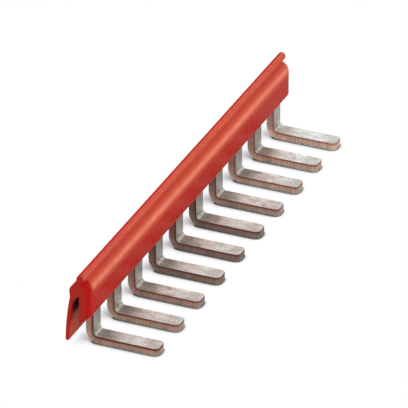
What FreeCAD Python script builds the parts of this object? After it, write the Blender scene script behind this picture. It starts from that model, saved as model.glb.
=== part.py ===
import FreeCAD, Part
import math
import os

from FreeCAD import Vector

# Terminal jumper: a comb of bent copper prongs that share one spine, under an insulating strip.
# Millimetres. X runs along the strip, the prongs reach towards -Y, and +Z is up.
# The origin is the middle of the footprint, on the plane that the prongs lie on.

# Row of prongs
ways = 10
pitch = 6.2

# Comb: stamped from sheet, then bent once
sheet = 1.0
prong_width = 2.2
# From the sheet's rear face to the prong's tip
prong_reach = 9.4
tip_corner_radius = 0.6
bend_outer_radius = 1.8
# Width of the flat that the forming punch leaves in the inner corner
bend_inner_coin = 0.5
# Height of the spine's lower edge above the prongs' underside
spine_bottom = 5.9
spine_height = 2.4
# Where a prong leaves the spine
root_radius = 0.4

# Strip: front wall
# Past half a pitch beyond the outer prongs, at each end
strip_end_margin = 0.1
front_wall = 0.6
# Of the front wall below the spine's lower edge
front_cover = 1.15
front_edge_radius = 0.7
# Degrees, falling towards the rear
underside_slope = 37.0
front_shoulder_radius = 1.43
# Of the round's centre below the spine's top
front_shoulder_drop = 0.3
# Degrees that the round turns through
front_shoulder_turn = 70.0

# Strip: bead along the top
bead_radius = 0.5
# Of its centre above the spine's top, and in front of the sheet's rear face
bead_rise = 1.4
bead_setback = 0.28
# Past each end of the strip's body
bead_overhang = 0.25
# Where the rear slope ends inside the bead
rear_slope_rise = 1.6
rear_slope_setback = 0.1

# Strip: rear shoulder and skirt, with depths behind the sheet's rear face
rear_shoulder_radius = 0.8
rear_shoulder_drop = 0.45
rear_shoulder_depth = 1.25
rear_shoulder_turn = 38.0
skirt_wall = 0.5
skirt_waist_drop = 1.3
skirt_waist_depth = 1.17
skirt_reach = 1.8
# Height of the skirt's lower edge above the prongs' underside
skirt_bottom = 0.9
# Of the skirt's outer face off a straight line
skirt_bow = 0.12

# Strip: slot and groove
# Of the slot that holds the spine's top edge
slot_depth = 1.1
# From the groove's top down to where the skirt reaches its wall, and the bulge of its roof
groove_knee_drop = 1.7
groove_roof_bulge = 0.19

# Strip: rounds into each end, of its front, and of the rest as a share of the skirt's tightest round
end_front_radius = 1.1
end_rear_share = 0.85
end_round_steps = 4
# What is left, at the very end, of the round under the front wall
end_least_radius = 0.1
# Of the bead's own ends
end_bead_chamfer = 0.15

# Between the ends of the spine and of its slot
fit_clearance = 0.05

# Length below which two places count as the same
same_place = 1e-6

# Places worked out from the sizes above
rear_face = (prong_reach - skirt_reach) / 2
front_face = rear_face - sheet
tip_face = rear_face - prong_reach
spine_top = spine_bottom + spine_height
spine_half = (ways - 1) * pitch / 2 + prong_width / 2
strip_half = ways * pitch / 2 + strip_end_margin
end_rear_radius = end_rear_share * skirt_wall / 2


def at(depth, z):
    """A point of a section, from its depth behind the sheet's rear face and its height."""
    return Vector(0, rear_face + depth, z)


def line(a, b):
    return Part.LineSegment(a, b).toShape()


def arc(a, middle, b):
    return Part.Arc(a, middle, b).toShape()


def round_point(centre, radius, degrees):
    """A point of a round in a section, with the angle counted from -Y towards +Z."""
    angle = math.radians(degrees)
    return centre + Vector(0, -radius * math.cos(angle), radius * math.sin(angle))


def prong_centres():
    return [(i - (ways - 1) / 2) * pitch for i in range(ways)]


# Comb

def spine_and_uprights():
    """The standing part of the sheet, with rounded roots, from the spine down to the bends."""
    corner = Vector(-spine_half, front_face, spine_bottom)
    blank = Part.makeBox(2 * spine_half, sheet, spine_height, corner)
    for x in prong_centres():
        corner = Vector(x - prong_width / 2, front_face, bend_outer_radius)
        upright = Part.makeBox(prong_width, sheet, spine_top - bend_outer_radius, corner)
        blank = blank.fuse(upright)
    blank = blank.removeSplitter()
    roots = [edge for edge in blank.Edges if is_root(edge)]
    return blank.makeFillet(root_radius, roots)


def is_root(edge):
    """True where a prong's side meets the spine's lower edge, on the edges through the sheet."""
    middle = edge.CenterOfMass
    first, last = edge.Vertexes[0].Point, edge.Vertexes[-1].Point
    through = abs(abs(first.y - last.y) - sheet) < same_place
    at_spine = abs(middle.z - spine_bottom) < same_place
    inside = abs(middle.x) < spine_half - same_place
    return through and at_spine and inside


def prong(x):
    """The bend and the flat leg of one prong."""
    flat = bend_inner_coin / math.sqrt(2)
    bend = at(-bend_outer_radius, bend_outer_radius)
    outline = [
        line(at(-sheet, bend_outer_radius), at(0, bend_outer_radius)),
        arc(at(0, bend_outer_radius), round_point(bend, bend_outer_radius, 225), at(-bend_outer_radius, 0)),
        line(at(-bend_outer_radius, 0), at(-prong_reach, 0)),
        line(at(-prong_reach, 0), at(-prong_reach, sheet)),
        line(at(-prong_reach, sheet), at(-sheet - flat, sheet)),
        line(at(-sheet - flat, sheet), at(-sheet, sheet + flat)),
        line(at(-sheet, sheet + flat), at(-sheet, bend_outer_radius)),
    ]
    leg = Part.Face(Part.Wire(outline)).extrude(Vector(prong_width, 0, 0))
    leg = leg.makeFillet(tip_corner_radius, [edge for edge in leg.Edges if is_tip_corner(edge)])
    leg.translate(Vector(x - prong_width / 2, 0, 0))
    return leg


def is_tip_corner(edge):
    """True for the two upright edges at a prong's tip."""
    middle = edge.CenterOfMass
    upright = abs(middle.z - sheet / 2) < same_place and abs(edge.Length - sheet) < same_place
    return upright and abs(middle.y - tip_face) < same_place


def contact_comb():
    comb = spine_and_uprights()
    for x in prong_centres():
        comb = comb.fuse(prong(x))
    return comb.removeSplitter()


# Insulating strip

def inset(radius, depth):
    """How far a face has drawn in, at this depth from the end, where it rounds into the end."""
    left = max(radius - depth, 0)
    return radius - math.sqrt(radius ** 2 - left ** 2)


def strip_outline(x, depth):
    """The strip's section at x, this deep from its end, without the bead on top."""
    front_inset = inset(end_front_radius, depth)
    rear_inset = inset(end_rear_radius, depth)

    # Front wall: its lower edge, from the underside round to the front
    slope = math.radians(underside_slope)
    edge_round = max(front_edge_radius - front_inset, end_least_radius)
    edge_depth = front_inset + edge_round
    edge_rise = (rear_inset + edge_round) / math.cos(slope) - edge_depth * math.tan(slope)
    edge = at(edge_depth - sheet - front_wall, spine_bottom - front_cover + edge_rise)
    edge_turn = underside_slope - 90
    front_low = round_point(edge, edge_round, 0)
    under_front = round_point(edge, edge_round, edge_turn)

    # Front shoulder, and the short way on to the bead's centre
    shoulder = at(front_shoulder_radius - sheet - front_wall, spine_top - front_shoulder_drop)
    shoulder_round = front_shoulder_radius - front_inset
    front_high = round_point(shoulder, shoulder_round, 0)
    shoulder_end = round_point(shoulder, shoulder_round, front_shoulder_turn)
    bead_centre = at(-bead_setback, spine_top + bead_rise)

    # Rear slope and shoulder
    rear_slope_end = at(-rear_slope_setback, spine_top + rear_slope_rise)
    rear = at(rear_shoulder_depth - rear_shoulder_radius, spine_top - rear_shoulder_drop)
    rear_round = rear_shoulder_radius - rear_inset
    rear_top = round_point(rear, rear_round, 180 - rear_shoulder_turn)
    rear_end = round_point(rear, rear_round, 180)

    # Skirt
    waist_height = spine_top - skirt_waist_drop
    waist = at(skirt_waist_depth - rear_inset, waist_height)
    tip = at(skirt_reach - skirt_wall / 2, skirt_bottom + skirt_wall / 2)
    tip_round = skirt_wall / 2 - rear_inset
    skirt_low = round_point(tip, tip_round, 180)
    inner_low = round_point(tip, tip_round, 0)
    bow = Vector(0, skirt_bow, 0)

    # Groove between the skirt and the end post
    knee_height = spine_top - slot_depth - groove_knee_drop
    knee_share = (waist_height - knee_height) / (waist_height - skirt_bottom)
    knee_depth = skirt_waist_depth + (skirt_reach - skirt_waist_depth) * knee_share - skirt_wall
    knee = at(knee_depth + rear_inset, knee_height) + bow / 2
    groove_start = at(-rear_inset, spine_top - slot_depth + rear_inset)
    bulge = Vector(0, groove_roof_bulge, groove_roof_bulge)
    post_low = at(-rear_inset, under_front.z - (rear_face - rear_inset - under_front.y) * math.tan(slope))

    outline = Part.Wire([
        line(front_low, front_high),
        arc(front_high, round_point(shoulder, shoulder_round, front_shoulder_turn / 2), shoulder_end),
        line(shoulder_end, bead_centre),
        line(bead_centre, rear_slope_end),
        line(rear_slope_end, rear_top),
        arc(rear_top, round_point(rear, rear_round, 180 - rear_shoulder_turn / 2), rear_end),
        line(rear_end, waist),
        arc(waist, (waist + skirt_low) / 2 + bow, skirt_low),
        arc(skirt_low, round_point(tip, tip_round, -90), inner_low),
        arc(inner_low, (knee + inner_low) / 2 + bow / 2, knee),
        arc(knee, (knee + groove_start) / 2 + bulge, groove_start),
        line(groove_start, post_low),
        line(post_low, under_front),
        arc(under_front, round_point(edge, edge_round, edge_turn / 2), front_low),
    ])
    outline.translate(Vector(x, 0, 0))
    return outline


def rounded_end(side):
    """The last stretch of the strip at one end, drawn in ring by ring; side is -1 or 1."""
    rings = []
    for step in range(end_round_steps + 1):
        angle = math.radians(90 * step / end_round_steps)
        depth = end_front_radius * (1 - math.sin(angle))
        rings.append(strip_outline(side * (strip_half - depth), depth))
    return Part.makeLoft(rings, True, True)


def bead():
    """The round bead along the top."""
    half = strip_half + bead_overhang
    start = Vector(-half, rear_face - bead_setback, spine_top + bead_rise)
    rod = Part.makeCylinder(bead_radius, 2 * half, start, Vector(1, 0, 0))
    return rod.makeChamfer(end_bead_chamfer, [edge for edge in rod.Edges if edge.isClosed()])


def insulating_strip():
    """The section along the strip, with its rounded ends and bead, and the slot for the spine."""
    middle_half = strip_half - end_front_radius
    section = Part.Face(strip_outline(-middle_half, end_front_radius))
    strip = section.extrude(Vector(2 * middle_half, 0, 0))
    strip = strip.fuse([rounded_end(-1), rounded_end(1), bead()])
    slot_half = spine_half + fit_clearance
    slot = Part.makeBox(2 * slot_half, sheet, spine_top, Vector(-slot_half, front_face, 0))
    return strip.cut(slot)


# Writing the pieces

os.makedirs("parts", exist_ok=True)
pieces = {"contact_comb": contact_comb(), "insulating_strip": insulating_strip()}
for name, shape in pieces.items():
    solid = shape.Solids[0]
    assert len(shape.Solids) == 1 and solid.isValid(), name
    solid.exportStep(f"parts/{name}.step")
    print(name, round(solid.Volume, 3), solid.BoundBox)
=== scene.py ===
import math

import bmesh
import bpy
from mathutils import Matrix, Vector


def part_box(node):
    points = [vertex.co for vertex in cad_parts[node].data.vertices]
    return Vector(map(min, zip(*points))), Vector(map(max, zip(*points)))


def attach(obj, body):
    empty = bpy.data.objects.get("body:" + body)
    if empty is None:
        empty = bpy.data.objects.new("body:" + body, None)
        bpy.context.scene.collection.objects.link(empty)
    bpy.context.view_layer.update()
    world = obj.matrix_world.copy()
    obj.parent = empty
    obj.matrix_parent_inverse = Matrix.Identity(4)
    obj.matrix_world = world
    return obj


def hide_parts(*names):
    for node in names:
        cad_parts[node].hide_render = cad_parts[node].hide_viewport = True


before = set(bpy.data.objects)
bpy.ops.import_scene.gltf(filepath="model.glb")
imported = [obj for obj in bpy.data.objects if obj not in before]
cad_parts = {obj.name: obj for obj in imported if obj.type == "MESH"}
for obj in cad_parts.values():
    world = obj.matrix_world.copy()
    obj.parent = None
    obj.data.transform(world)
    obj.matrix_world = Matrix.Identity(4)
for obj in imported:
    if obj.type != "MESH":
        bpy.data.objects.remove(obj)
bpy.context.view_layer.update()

# Terminal jumper: a comb of tinned copper prongs under a red insulating strip.
# The part's own sizes are in millimetres, and MM turns them into metres.
MM = 0.001

# Row of prongs
ways = 10
pitch = 6.2

# Comb
sheet = 1.0
prong_width = 2.2
prong_reach = 9.4
tip_corner_radius = 0.6
bend_outer_radius = 1.8
bend_inner_coin = 0.5
coin_edge_radius = 0.1
spine_bottom = 5.9
spine_height = 2.4
root_radius = 0.4
# Rolled edge that the die leaves on the upper side, and the sharper lower edge
rolled_edge = 0.07
lower_edge = 0.03

# Strip, as in the solid
front_wall = 0.6
front_cover = 1.15
front_edge_radius = 0.7
underside_slope = 37.0
front_shoulder_radius = 1.43
front_shoulder_drop = 0.3
bead_radius = 0.5
bead_rise = 1.4
bead_setback = 0.28
bead_end_round = 0.3
# Of the fillet between the front shoulder and the bead, and the least radius that reaches both
# as a share of the gap between their rounds
valley_radius = 0.1
valley_least_share = 0.52
rear_slope_rise = 1.6
rear_slope_setback = 0.1
rear_shoulder_radius = 0.8
rear_shoulder_drop = 0.45
rear_shoulder_depth = 1.25
rear_shoulder_turn = 38.0
skirt_wall = 0.5
skirt_waist_drop = 1.3
skirt_waist_depth = 1.17
skirt_reach = 1.8
skirt_bottom = 0.9
skirt_bow = 0.12
slot_depth = 1.1
groove_knee_drop = 1.7
groove_roof_bulge = 0.19
end_front_radius = 1.1
end_rear_share = 0.85
end_least_radius = 0.1
strip_end_margin = 0.1
fit_clearance = 0.05

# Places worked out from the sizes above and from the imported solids
comb_low, comb_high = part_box("contact_comb")
strip_low, strip_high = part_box("insulating_strip")
rear_face = comb_high.y / MM
front_face = rear_face - sheet
spine_top = spine_bottom + spine_height
spine_half = (ways - 1) * pitch / 2 + prong_width / 2
strip_half = ways * pitch / 2 + strip_end_margin
bead_half = strip_high.x / MM
end_rear_radius = end_rear_share * skirt_wall / 2
upright_length = spine_top - bend_outer_radius
bend_length = bend_outer_radius * math.pi / 2
sheet_length = upright_length + bend_length + prong_reach - bend_outer_radius
# Where the ramp of painted light and shade along a prong has the bend's start
bend_origin = 0.35


# Meshes

def mesh_object(name, vertices, faces, sharp_angle=35.0):
    """A smooth-shaded object in the part's frame, from points in millimetres."""
    mesh = bpy.data.meshes.new(name)
    mesh.from_pydata([Vector(v) * MM for v in vertices], [], faces)
    mesh.update()
    piece = bpy.data.objects.new(name, mesh)
    bpy.context.scene.collection.objects.link(piece)
    face_outwards(mesh)
    shade(mesh, sharp_angle)
    return piece


def face_outwards(mesh):
    work = bmesh.new()
    work.from_mesh(mesh)
    bmesh.ops.recalc_face_normals(work, faces=work.faces)
    work.to_mesh(mesh)
    work.free()


def shade(mesh, sharp_angle):
    mesh.shade_smooth()
    mesh.set_sharp_from_angle(angle=math.radians(sharp_angle))


def even_normals(piece):
    """Flat faces stay flat beside their small rounds."""
    weighted = piece.modifiers.new("even_normals", "WEIGHTED_NORMAL")
    weighted.keep_sharp = True
    weighted.weight = 100


def combine(piece, other, operation):
    """Joins another mesh to a piece, or cuts it away, and keeps the result as the piece's mesh."""
    step = piece.modifiers.new("combine", "BOOLEAN")
    step.operation = operation
    step.solver = "EXACT"
    step.object = other
    bpy.context.view_layer.update()
    result = bpy.data.meshes.new_from_object(piece.evaluated_get(bpy.context.evaluated_depsgraph_get()))
    piece.modifiers.clear()
    piece.data = result
    bpy.data.objects.remove(other)


def spaced(start, end, steps):
    return [start + (end - start) * i / steps for i in range(steps + 1)]


def ring_faces(rings, count):
    """Quads between closed rings of points, with count points in each ring."""
    faces = []
    for ring in range(rings - 1):
        low, high = ring * count, (ring + 1) * count
        for i in range(count):
            j = (i + 1) % count
            faces.append((low + i, low + j, high + j, high + i))
    return faces


# Comb

def coin_corners():
    """The sheet's inner line round the bend, with its coined flat: (share of bend, depth, height)."""
    flat = bend_inner_coin / math.sqrt(2)
    # Each edge of the flat turns through 45 degrees
    half_turn = math.radians(22.5)
    tangent = coin_edge_radius * math.tan(half_turn)
    slant = tangent / math.sqrt(2)
    bulge = coin_edge_radius * math.cos(half_turn)
    rise = coin_edge_radius * math.sin(half_turn)
    upper, lower = sheet + flat, sheet
    centre_a = (-sheet - coin_edge_radius, upper + tangent)
    centre_b = (-sheet - flat - tangent, lower + coin_edge_radius)
    return [
        (0.0, -sheet, bend_outer_radius),
        (0.30, -sheet, upper + tangent),
        (0.33, centre_a[0] + bulge, centre_a[1] - rise),
        (0.36, -sheet - slant, upper - slant),
        (0.64, -sheet - flat + slant, lower + slant),
        (0.67, centre_b[0] + rise, centre_b[1] - bulge),
        (0.70, -sheet - flat - tangent, lower),
        (1.0, -bend_outer_radius, sheet),
    ]


corners = coin_corners()


def inner_bend(share):
    """The depth and height of the sheet's inner line at this share of the bend."""
    for (a, depth_a, z_a), (b, depth_b, z_b) in zip(corners, corners[1:]):
        if share <= b:
            part = (share - a) / (b - a)
            return depth_a + (depth_b - depth_a) * part, z_a + (z_b - z_a) * part
    return corners[-1][1:]


def bent(x, along, height):
    """Where a point of the flat stamping lies once bent; height is above the sheet's rear face."""
    if along <= upright_length:
        return (x, rear_face - height, spine_top - along)
    if along <= upright_length + bend_length:
        share = (along - upright_length) / bend_length
        angle = share * math.pi / 2
        outer_depth = -bend_outer_radius + bend_outer_radius * math.cos(angle)
        outer_z = bend_outer_radius - bend_outer_radius * math.sin(angle)
        inner_depth, inner_z = inner_bend(share)
        part = height / sheet
        depth = outer_depth + (inner_depth - outer_depth) * part
        return (x, rear_face + depth, outer_z + (inner_z - outer_z) * part)
    past = along - upright_length - bend_length
    return (x, rear_face - bend_outer_radius - past, height)


def prong_stations():
    """Places along a prong between its root and its rounded tip."""
    bend = sorted(set(spaced(0, 1, 16) + [corner[0] for corner in corners]))
    upright = spaced(spine_height + root_radius, upright_length, 8)
    leg = spaced(upright_length + bend_length, sheet_length - tip_corner_radius, 16)
    return upright[1:-1] + [upright_length + bend_length * share for share in bend] + leg[1:-1]


def prong_side(inset, free_edge):
    """(half width, place along) pairs down one side of a prong, drawn in by inset."""
    half = prong_width / 2
    points = []
    for angle in spaced(math.pi / 2, 0, 6):
        around = root_radius + inset
        along = spine_height + root_radius - around * math.sin(angle)
        across = half + root_radius - around * math.cos(angle)
        points.append((half - inset if free_edge else across, along))
    points += [(half - inset, along) for along in prong_stations()]
    for angle in spaced(0, math.pi / 2, 8):
        around = tip_corner_radius - inset
        across = half - tip_corner_radius + around * math.cos(angle)
        points.append((across, sheet_length - tip_corner_radius + around * math.sin(angle)))
    return points


def stamping_outline(inset):
    """The flat stamping's outline, drawn in by inset, as (x, place along) pairs."""
    outline = [(-spine_half + inset, inset)]
    for way in range(ways):
        centre = (way - (ways - 1) / 2) * pitch
        left = prong_side(inset, way == 0)
        right = prong_side(inset, way == ways - 1)
        outline += [(centre - across, along) for across, along in left]
        outline += [(centre + across, along) for across, along in reversed(right)]
    outline.append((spine_half - inset, inset))
    return outline


def edge_rings():
    """(height, inset) pairs through the sheet, both edges round, and the first and last cut step."""
    quarter = math.pi / 2
    lower = [(lower_edge * (1 - math.cos(a)), lower_edge * (1 - math.sin(a)))
             for a in spaced(0, quarter, 2)]
    upper = [(sheet - rolled_edge * (1 - math.sin(a)), rolled_edge * (1 - math.cos(a)))
             for a in spaced(0, quarter, 4)]
    return lower + upper, (len(lower) - 1, len(lower) + 2)


def make_comb():
    rings, (first_cut, last_cut) = edge_rings()
    vertices = []
    heights = []
    alongs = []
    for height, inset in rings:
        for x, along in stamping_outline(inset):
            vertices.append(bent(x, along, height))
            heights.append(height / sheet)
            alongs.append(along)
    count = len(vertices) // len(rings)
    faces = ring_faces(len(rings), count)
    side = len(prong_side(0, False))
    for base in (0, (len(rings) - 1) * count):
        spine = [base]
        for way in range(ways):
            first = base + 1 + way * 2 * side
            last = first + 2 * side - 1
            for step in range(side - 1):
                faces.append((first + step, first + step + 1, last - step - 1, last - step))
            spine += [first, last]
        spine.append(base + count - 1)
        faces.append(tuple(spine))
    comb = mesh_object("comb", vertices, faces)
    store(comb.data, "POINT", "sheet_height", heights)
    store(comb.data, "POINT", "sheet_along", alongs)
    cut = [float(first_cut <= face // count <= last_cut) for face in range(len(faces))]
    store(comb.data, "FACE", "cut_side", cut)
    even_normals(comb)
    return comb


def store(mesh, domain, name, values):
    attribute = mesh.attributes.new(name, "FLOAT", domain)
    attribute.data.foreach_set("value", values)


# Strip

def arc_points(centre, radius, start, end, steps):
    """Points of a round in a section, with angles counted from the front towards the top."""
    points = []
    for degrees in spaced(start, end, steps):
        angle = math.radians(degrees)
        points.append((centre[0] - radius * math.cos(angle), centre[1] + radius * math.sin(angle)))
    return points


def bowed(start, end, bulge, steps):
    """Points between two ends, pushed out by a bulge, given as (depth, height), at the middle."""
    points = []
    for share in spaced(0, 1, steps)[1:-1]:
        push = 4 * share * (1 - share)
        points.append((start[0] + (end[0] - start[0]) * share + bulge[0] * push,
                       start[1] + (end[1] - start[1]) * share + bulge[1] * push))
    return points


def inset(radius, depth):
    """How far a face has drawn in, at this depth from the end, where it rounds into the end."""
    left = max(radius - depth, 0)
    return radius - math.sqrt(radius ** 2 - left ** 2)


def valley(shoulder, shoulder_round):
    """The fillet between the shoulder's round and the bead, and the angle where it starts."""
    bead_centre = (-bead_setback, spine_top + bead_rise)
    across = math.dist(shoulder, bead_centre)
    radius = max(valley_radius, valley_least_share * (across - shoulder_round - bead_radius))
    from_shoulder, from_bead = shoulder_round + radius, bead_radius + radius
    rise = (from_shoulder ** 2 - from_bead ** 2 + across ** 2) / (2 * across)
    lean = math.atan2(bead_centre[1] - shoulder[1], shoulder[0] - bead_centre[0])
    start = lean - math.acos(rise / from_shoulder)
    centre = (shoulder[0] - from_shoulder * math.cos(start),
              shoulder[1] + from_shoulder * math.sin(start))
    end = math.atan2(bead_centre[1] - centre[1], centre[0] - bead_centre[0])
    points = arc_points(centre, radius, math.degrees(start) + 180, math.degrees(end) % 360, 10)
    return points[1:], math.degrees(start)


def strip_section(depth):
    """The strip's outline, as (depth behind the sheet, height) pairs, this deep from its end."""
    front_inset = inset(end_front_radius, depth)
    rear_inset = inset(end_rear_radius, depth)
    slope = math.radians(underside_slope)
    edge_round = max(front_edge_radius - front_inset, end_least_radius)
    edge_depth = front_inset + edge_round
    edge_rise = (rear_inset + edge_round) / math.cos(slope) - edge_depth * math.tan(slope)
    edge = (edge_depth - sheet - front_wall, spine_bottom - front_cover + edge_rise)
    shoulder = (front_shoulder_radius - sheet - front_wall, spine_top - front_shoulder_drop)
    shoulder_round = front_shoulder_radius - front_inset
    valley_points, shoulder_turn = valley(shoulder, shoulder_round)
    rear = (rear_shoulder_depth - rear_shoulder_radius, spine_top - rear_shoulder_drop)
    waist_height = spine_top - skirt_waist_drop
    waist = (skirt_waist_depth - rear_inset, waist_height)
    tip = (skirt_reach - skirt_wall / 2, skirt_bottom + skirt_wall / 2)
    tip_round = skirt_wall / 2 - rear_inset
    knee_height = spine_top - slot_depth - groove_knee_drop
    knee_share = (waist_height - knee_height) / (waist_height - skirt_bottom)
    knee_depth = skirt_waist_depth + (skirt_reach - skirt_waist_depth) * knee_share - skirt_wall
    knee = (knee_depth + rear_inset + skirt_bow / 2, knee_height)
    groove_start = (-rear_inset, spine_top - slot_depth + rear_inset)

    under = arc_points(edge, edge_round, underside_slope - 90, 0, 8)
    post_low = (-rear_inset, under[0][1] - (-rear_inset - under[0][0]) * math.tan(slope))
    tip_points = arc_points(tip, tip_round, 180, 360, 12)
    skirt_low, inner_low = tip_points[0], tip_points[-1]
    return (
        under
        + arc_points(shoulder, shoulder_round, 0, shoulder_turn, 20)
        + valley_points
        + [(-bead_setback, spine_top + bead_rise), (-rear_slope_setback, spine_top + rear_slope_rise)]
        + arc_points(rear, rear_shoulder_radius - rear_inset, 180 - rear_shoulder_turn, 180, 8)
        + [waist]
        + bowed(waist, skirt_low, (skirt_bow, 0), 8)
        + tip_points
        + bowed(inner_low, knee, (skirt_bow / 2, 0), 8)
        + [knee]
        + bowed(knee, groove_start, (groove_roof_bulge, groove_roof_bulge), 8)
        + [groove_start, post_low]
    )


def strip_body():
    depths = [end_front_radius * (1 - math.sin(angle)) for angle in spaced(0, math.pi / 2, 18)]
    stations = [(strip_half - depth, depth) for depth in depths]
    rings = [(-x, depth) for x, depth in reversed(stations)] + stations
    vertices = []
    for x, depth in rings:
        section = strip_section(depth)
        vertices += [(x, rear_face + behind, z) for behind, z in section]
    count = len(vertices) // len(rings)
    caps = [tuple(range(count)), tuple(range(len(vertices) - count, len(vertices)))]
    return mesh_object("insulation", vertices, caps + ring_faces(len(rings), count))


def bead():
    """The round bead along the top, with rounded ends."""
    around = 48
    ends = [(bead_half - bead_end_round * (1 - math.sin(a)),
             bead_radius - bead_end_round * (1 - math.cos(a)))
            for a in spaced(0, math.pi / 2, 6)]
    profile = [(-x, radius) for x, radius in reversed(ends)] + ends
    vertices = []
    for x, radius in profile:
        for i in range(around):
            angle = 2 * math.pi * i / around
            vertices.append((x, rear_face - bead_setback + radius * math.cos(angle),
                             spine_top + bead_rise + radius * math.sin(angle)))
    caps = [tuple(range(around)), tuple(range(len(vertices) - around, len(vertices)))]
    return mesh_object("bead", vertices, caps + ring_faces(len(profile), around))


def slot():
    """The space that the spine fills inside the strip."""
    half = spine_half + fit_clearance
    vertices = [(x, y, z) for x in (-half, half) for y in (front_face, rear_face)
                for z in (0, spine_top)]
    faces = [(0, 1, 3, 2), (4, 6, 7, 5), (0, 4, 5, 1), (2, 3, 7, 6), (0, 2, 6, 4), (1, 5, 7, 3)]
    return mesh_object("slot", vertices, faces)


def make_strip():
    strip = strip_body()
    combine(strip, bead(), "UNION")
    combine(strip, slot(), "DIFFERENCE")
    shade(strip.data, 30)
    even_normals(strip)
    return strip


# Materials

class Nodes:
    """A material's nodes, added and linked by short calls."""

    def __init__(self, name):
        self.material = bpy.data.materials.new(name)
        self.material.use_nodes = True
        self.tree = self.material.node_tree
        self.shader = self.tree.nodes["Principled BSDF"]
        self.output = self.tree.nodes["Material Output"]

    def add(self, kind, settings=None, **inputs):
        node = self.tree.nodes.new(kind)
        for key, value in (settings or {}).items():
            setattr(node, key, value)
        for key, value in inputs.items():
            self.put(node, key.replace("_", " "), value)
        return node

    def put(self, node, socket, value):
        """Links an output socket to an input, or sets a plain value."""
        target = node.inputs[int(socket)] if socket.isdigit() else node.inputs[socket]
        if isinstance(value, bpy.types.NodeSocket):
            self.tree.links.new(value, target)
        else:
            target.default_value = value

    def place(self, stretch=(1, 1, 1)):
        """Coordinates in millimetres of the part's frame, times a stretch."""
        where = self.add("ShaderNodeTexCoord")
        mapping = self.add("ShaderNodeMapping", Vector=where.outputs["Object"])
        mapping.inputs["Scale"].default_value = [value / MM for value in stretch]
        return mapping.outputs["Vector"]

    def noise(self, vector, scale, detail=2.0, roughness=0.5):
        node = self.add("ShaderNodeTexNoise", Vector=vector, Scale=scale, Detail=detail,
                        Roughness=roughness)
        return node.outputs["Fac"]

    def math(self, operation, a, b=0.5):
        node = self.add("ShaderNodeMath", {"operation": operation})
        self.put(node, "0", a)
        self.put(node, "1", b)
        return node.outputs["Value"]

    def ramp(self, factor, stops):
        """A colour ramp; each stop is a place and a colour, or a place and one grey value."""
        node = self.add("ShaderNodeValToRGB", Fac=factor)
        elements = node.color_ramp.elements
        while len(elements) < len(stops):
            elements.new(0.5)
        for element, (position, colour) in zip(elements, stops):
            element.position = position
            element.color = (*colour, 1) if isinstance(colour, tuple) else (colour, colour, colour, 1)
        return node.outputs["Color"]

    def spread(self, value, low, high, to_low=0.0, to_high=1.0):
        """A value's range from low to high, spread over another range."""
        node = self.add("ShaderNodeMapRange")
        for socket, number in zip(("0", "1", "2", "3", "4"), (value, low, high, to_low, to_high)):
            self.put(node, socket, number)
        return node.outputs["Result"]

    def mix(self, factor, a, b):
        node = self.add("ShaderNodeMix", {"data_type": "RGBA"})
        self.put(node, "0", factor)
        self.put(node, "6", a)
        self.put(node, "7", b)
        return node.outputs[2]

    def times(self, a, b):
        node = self.add("ShaderNodeMix", {"data_type": "RGBA", "blend_type": "MULTIPLY"})
        self.put(node, "0", 1.0)
        self.put(node, "6", a)
        self.put(node, "7", b)
        return node.outputs[2]

    def attribute(self, name):
        return self.add("ShaderNodeAttribute", {"attribute_name": name}).outputs["Fac"]

    def bump(self, height, distance, under=None):
        """A bump of this depth in millimetres, over another one if given."""
        node = self.add("ShaderNodeBump", Height=height, Distance=distance * MM, Strength=1.0)
        if under is not None:
            self.put(node, "Normal", under)
        return node.outputs["Normal"]


def red_plastic():
    """Moulded plastic that the light enters a little, with a faint grain."""
    m = Nodes("red_plastic")
    place = m.place()
    cloud = m.noise(m.place((0.12, 1, 1)), 0.5, 3)
    colour = m.ramp(cloud, [(0.3, (0.50, 0.011, 0.007)), (0.7, (0.57, 0.015, 0.010))])
    axes = m.add("ShaderNodeSeparateXYZ", Vector=place).outputs
    # Painted shade: the end faces get a darker, greyer red than the rest
    painted_end_shade = m.spread(m.math("ABSOLUTE", axes["X"]), strip_half - 0.12, strip_half - 0.02)
    colour = m.mix(painted_end_shade, colour, (0.47, 0.027, 0.020, 1))
    # Painted shade: ambient occlusion darkens the colour in the groove, most in its upper part
    open_air = m.add("ShaderNodeAmbientOcclusion", {"samples": 8}, Distance=2.5 * MM)
    upper_groove_shade = m.spread(axes["Z"], 3.7, 4.5, 0.0, 0.15)
    open_share = m.math("SUBTRACT", open_air.outputs["AO"], upper_groove_shade)
    deep = m.ramp(open_share, [(0.08, (0.01, 0.01, 0.005)), (0.27, 1)])
    m.put(m.shader, "Base Color", m.times(colour, deep))
    # Smooth on the flat front wall, duller on the rounds above it, and smoother again on the bead
    worn = m.ramp(m.math("DIVIDE", axes["Z"], 10.0),
                  [(0.73, 0.28), (0.82, 0.60), (0.90, 0.62), (0.94, 0.74)])
    wall = front_face - front_wall
    off_wall = m.spread(axes["Y"], wall + 0.01, wall + 0.05, 0.0, 0.60)
    matt = m.math("MAXIMUM", worn, off_wall)
    matt = m.math("SUBTRACT", matt, m.spread(axes["Z"], 9.9, 10.1, 0.0, 0.22))
    uneven = m.spread(m.noise(place, 1.2, 4), 0.3, 0.7, -0.03, 0.03)
    m.put(m.shader, "Roughness", m.math("ADD", matt, uneven))
    m.put(m.shader, "IOR", 1.11)
    m.put(m.shader, "Specular IOR Level", 0.3)
    m.put(m.shader, "Specular Tint", (1.0, 0.6, 0.38, 1))
    m.put(m.shader, "Subsurface Weight", 0.3)
    m.put(m.shader, "Subsurface Radius", (1.0, 0.15, 0.1))
    m.put(m.shader, "Subsurface Scale", 0.5 * MM)
    grain = m.bump(m.noise(place, 9.0, 2), 0.004)
    m.put(m.shader, "Normal", m.bump(m.noise(m.place((0.25, 1, 1)), 1.1, 2), 0.012, under=grain))
    return m.material


def painted_light_place(share):
    """Where a share of the bend, which may lie past it, falls on the ramp of painted light and shade
    along a prong.
    """
    return bend_origin + share * bend_length / sheet_length


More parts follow.
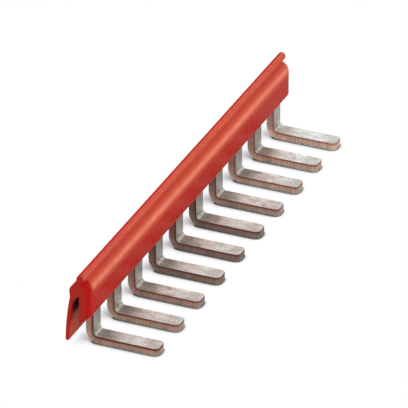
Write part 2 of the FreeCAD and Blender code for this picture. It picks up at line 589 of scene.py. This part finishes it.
def tinned_copper():
    """Dull tin on the rolled faces, and copper that the shears laid bare on the cut sides."""
    m = Nodes("tinned_copper")
    place = m.place()
    height = m.attribute("sheet_height")
    along = m.attribute("sheet_along")
    side = m.attribute("cut_side")
    x_axis = m.add("ShaderNodeSeparateXYZ", Vector=place).outputs["X"]

    # Tin, with a fine grain and stains. Painted light and shade along each prong: painted shade on the
    # uprights and just past the bend, a painted highlight on the coined flat between painted dark
    # lines, and painted light along the legs towards the tips
    tin = m.ramp(m.noise(place, 0.9, 4), [(0.3, (0.60, 0.585, 0.55)), (0.7, (0.72, 0.70, 0.66))])
    grain = m.noise(place, 4.0, 3, 0.75)
    tin = m.times(tin, m.ramp(grain, [(0.3, (0.66, 0.65, 0.63)), (0.65, 1.10)]))
    bent_share = m.math("DIVIDE", m.math("SUBTRACT", along, upright_length), sheet_length)
    painted_light_and_shade = m.ramp(m.math("ADD", bent_share, bend_origin), [
        (painted_light_place(-0.20), (0.66, 0.64, 0.62)),
        (painted_light_place(0.26), (1.05, 1.04, 1.02)),
        (painted_light_place(0.33), (0.55, 0.54, 0.52)),
        (painted_light_place(0.40), (1.50, 1.48, 1.44)),
        (painted_light_place(0.60), (1.50, 1.48, 1.44)),
        (painted_light_place(0.67), (0.55, 0.54, 0.52)),
        (painted_light_place(0.74), (1.0, 0.98, 0.95)),
        (painted_light_place(1.15), (0.92, 0.92, 0.89)),
        (painted_light_place(1.85), (1.36, 1.48, 1.50)),
        (painted_light_place(2.80), (1.40, 1.53, 1.56)),
        (painted_light_place(3.15), (1.13, 1.18, 1.19)),
        (painted_light_place(3.60), 1.00),
    ])
    tin = m.times(tin, painted_light_and_shade)
    streak = m.noise(m.place((2.4, 0.45, 2.4)), 1.0, 3, 0.6)
    tin = m.times(tin, m.ramp(streak, [(0.36, (0.80, 0.79, 0.77)), (0.58, 1.08)]))
    stain = m.spread(m.noise(place, 0.7, 4, 0.6), 0.54, 0.68, 0.0, 0.7)
    tin = m.mix(stain, tin, (0.40, 0.30, 0.25, 1))

    # Cut side, from its lower to its upper edge, with painted shade on each prong: darker on the middle
    # prongs and lightest on the last ones
    across = m.add("ShaderNodeCombineXYZ", X=along, Y=x_axis, Z=0.0).outputs["Vector"]
    stria = m.noise(across, 5.0, 3, 0.75)
    patch = m.noise(across, 0.8, 3)
    way = m.spread(x_axis, -spine_half, spine_half)
    bare = m.ramp(way, [(0.02, 0.0), (0.15, 0.45), (0.5, 0.30), (1.0, 0.35)])
    painted_shade_of_way = m.ramp(way, [
        (0.02, (0.97, 0.82, 0.75)),
        (0.12, (1.03, 0.98, 0.96)),
        (0.22, (0.87, 0.81, 0.79)),
        (0.32, (0.54, 0.50, 0.48)),
        (0.43, (0.58, 0.52, 0.50)),
        (0.53, (0.54, 0.49, 0.48)),
        (0.64, (0.85, 0.81, 0.79)),
        (0.75, (1.12, 1.08, 1.04)),
        (0.86, (1.17, 1.12, 1.08)),
        (0.96, (1.38, 1.36, 1.30)),
    ])
    level = m.math("ADD", height, m.spread(patch, 0.3, 0.7, -0.04, 0.04))
    level = m.math("ADD", level, m.spread(way, 0.0, 1.0, 0.06, -0.02))
    tan = m.ramp(level, [
        (0.0, (0.66, 0.66, 0.62)),
        (0.25, (0.55, 0.49, 0.43)),
        (0.6, (0.52, 0.37, 0.30)),
        (0.80, (0.44, 0.23, 0.17)),
        (0.88, (0.24, 0.05, 0.033)),
        (0.99, (0.12, 0.025, 0.018)),
    ])
    copper = m.mix(0.65, tan, (0.66, 0.40, 0.30, 1))
    cut = m.times(m.mix(bare, tan, copper), painted_shade_of_way)
    cut = m.times(cut, m.ramp(patch, [(0.3, (0.76, 0.74, 0.72)), (0.7, 1.16)]))
    cut = m.times(cut, m.ramp(stria, [(0.32, (0.62, 0.60, 0.58)), (0.62, 1.22)]))
    cut = m.times(cut, m.ramp(grain, [(0.35, (0.76, 0.75, 0.74)), (0.62, 1.12)]))

    m.put(m.shader, "Base Color", m.mix(side, tin, cut))
    m.put(m.shader, "Metallic", 0.5)
    m.put(m.shader, "Roughness", m.spread(m.math("ADD", grain, side), 0.3, 1.5, 0.38, 0.60))
    soft = m.bump(m.noise(place, 1.6, 3), 0.012)
    pits = m.bump(grain, 0.02, under=soft)
    m.put(m.shader, "Normal", m.bump(m.math("MULTIPLY", stria, side), 0.03, under=pits))
    return m.material


def dress(piece, material):
    piece.data.materials.clear()
    piece.data.materials.append(material)


# Stage: white floor and surroundings, and soft lamps

def background_share(nodes, links):
    """1 for the rays that see the background: those from the camera, and those that metal reflects."""
    path = nodes.new("ShaderNodeLightPath")
    share = None
    for ray in ("Is Camera Ray", "Is Glossy Ray", "Is Transmission Ray"):
        if share is None:
            share = path.outputs[ray]
            continue
        larger = nodes.new("ShaderNodeMath")
        larger.operation = "MAXIMUM"
        links.new(share, larger.inputs[0])
        links.new(path.outputs[ray], larger.inputs[1])
        share = larger.outputs["Value"]
    return share


def make_floor(size, contact_reach, shadow_reach):
    """A white floor that keeps the part's soft shadow, and a painted contact shadow, a dark line where
    the part touches it.
    """
    bpy.ops.mesh.primitive_plane_add(size=size)
    floor = bpy.context.object
    floor.name = "floor"
    m = Nodes("floor_white")
    contact = m.add("ShaderNodeAmbientOcclusion", {"samples": 16}, Distance=contact_reach * MM)
    # Painted contact shadow: ambient occlusion darkens the floor's colour and its glow where the part
    # touches it, and the floor's blue tint colours its shade
    line = m.ramp(contact.outputs["AO"], [(0.50, (0.09, 0.10, 0.11)), (0.84, 1)])
    m.put(m.shader, "Base Color", m.times(line, (0.86, 0.93, 1.0, 1)))
    m.put(m.shader, "Roughness", 0.9)
    m.put(m.shader, "Specular IOR Level", 0.1)
    glow = m.add("ShaderNodeEmission", Color=line, Strength=1.0)
    soft = m.add("ShaderNodeAmbientOcclusion", {"samples": 16}, Distance=shadow_reach * MM)
    openness = m.spread(soft.outputs["AO"], 0.42, 0.82)
    weight = m.math("MULTIPLY", background_share(m.tree.nodes, m.tree.links), openness)
    blend = m.add("ShaderNodeMixShader", Fac=weight)
    m.put(blend, "1", m.shader.outputs["BSDF"])
    m.put(blend, "2", glow.outputs["Emission"])
    m.put(m.output, "Surface", blend.outputs["Shader"])
    dress(floor, m.material)


def make_world(ambient, backdrop_azimuth, dim):
    """Even light for the part, a white backdrop on the far side and a dimmer studio on the near one."""
    world = bpy.data.worlds.new("surroundings")
    bpy.context.scene.world = world
    world.use_nodes = True
    nodes, links = world.node_tree.nodes, world.node_tree.links
    studio = nodes["Background"]
    studio.inputs["Color"].default_value = (1.0, 1.0, 1.0, 1)
    studio.inputs["Strength"].default_value = ambient
    where = nodes.new("ShaderNodeTexCoord")
    facing = nodes.new("ShaderNodeVectorMath")
    facing.operation = "DOT_PRODUCT"
    facing.inputs[1].default_value = towards(backdrop_azimuth, 0)
    links.new(where.outputs["Generated"], facing.inputs[0])
    fade = nodes.new("ShaderNodeMapRange")
    fade.interpolation_type = "SMOOTHSTEP"
    for socket, value in (("From Min", 0.35), ("From Max", 0.85), ("To Min", dim), ("To Max", 1.0)):
        fade.inputs[socket].default_value = value
    links.new(facing.outputs["Value"], fade.inputs["Value"])
    white = nodes.new("ShaderNodeBackground")
    links.new(fade.outputs["Result"], white.inputs["Strength"])
    blend = nodes.new("ShaderNodeMixShader")
    links.new(background_share(nodes, links), blend.inputs["Fac"])
    links.new(studio.outputs["Background"], blend.inputs[1])
    links.new(white.outputs["Background"], blend.inputs[2])
    links.new(blend.outputs["Shader"], nodes["World Output"].inputs["Surface"])


def towards(azimuth, elevation):
    """A unit direction, from degrees about +Z counted from +X, and degrees above the floor."""
    a, e = math.radians(azimuth), math.radians(elevation)
    return Vector((math.cos(e) * math.cos(a), math.cos(e) * math.sin(a), math.sin(e)))


def softbox(name, azimuth, elevation, width, height, brightness, colour=(1, 1, 1)):
    """A rectangular lamp that faces the part; brightness is how bright its face looks."""
    lamp = bpy.data.lights.new(name, "AREA")
    lamp.shape = "RECTANGLE"
    lamp.size = width
    lamp.size_y = height
    lamp.energy = brightness * math.pi * width * height
    lamp.color = colour
    box = bpy.data.objects.new(name, lamp)
    bpy.context.scene.collection.objects.link(box)
    direction = towards(azimuth, elevation)
    box.location = direction * lamp_distance
    box.rotation_euler = direction.to_track_quat("Z", "Y").to_euler()
    return box


def only_gloss_on(lamp, piece):
    """Lets a lamp add gloss to one piece, past the floor, and nothing else."""
    lit = bpy.data.collections.new(lamp.name + "_lights")
    lit.objects.link(piece)
    lamp.light_linking.receiver_collection = lit
    lamp.light_linking.blocker_collection = lit
    lamp.visible_diffuse = False


def make_camera(target, azimuth, elevation, distance, lens):
    data = bpy.data.cameras.new("camera")
    data.lens = lens
    data.sensor_width = 36.0
    data.clip_start = 0.01
    camera = bpy.data.objects.new("camera", data)
    bpy.context.scene.collection.objects.link(camera)
    direction = towards(azimuth, elevation)
    camera.location = Vector(target) * MM + direction * distance
    camera.rotation_euler = direction.to_track_quat("Z", "Y").to_euler()
    bpy.context.scene.camera = camera


lamp_distance = 0.5
make_camera(target=(-0.53, 0.66, 5.0), azimuth=203.26, elevation=29.07, distance=0.7765, lens=558.1)
make_floor(size=2.0, contact_reach=0.5, shadow_reach=2.0)
make_world(ambient=0.85, backdrop_azimuth=25, dim=0.3)
# One soft lamp lights the part, and two warm ones only add gloss to the strip
softbox("side_softbox", azimuth=4, elevation=34, width=0.16, height=0.10, brightness=5.0)
sheen_colour = (1.0, 0.62, 0.40)
front_sheen = softbox("front_sheen", azimuth=-46, elevation=0, width=0.18, height=0.14,
                      brightness=760.0, colour=sheen_colour)
top_sheen = softbox("top_sheen", azimuth=-3, elevation=29, width=0.16, height=0.12,
                    brightness=215.0, colour=sheen_colour)

# Pieces
comb = make_comb()
dress(comb, tinned_copper())
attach(comb, "root")
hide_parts("contact_comb")

strip = make_strip()
dress(strip, red_plastic())
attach(strip, "root")
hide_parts("insulating_strip")
only_gloss_on(front_sheen, strip)
only_gloss_on(top_sheen, strip)

bpy.context.scene.view_settings.view_transform = "Standard"
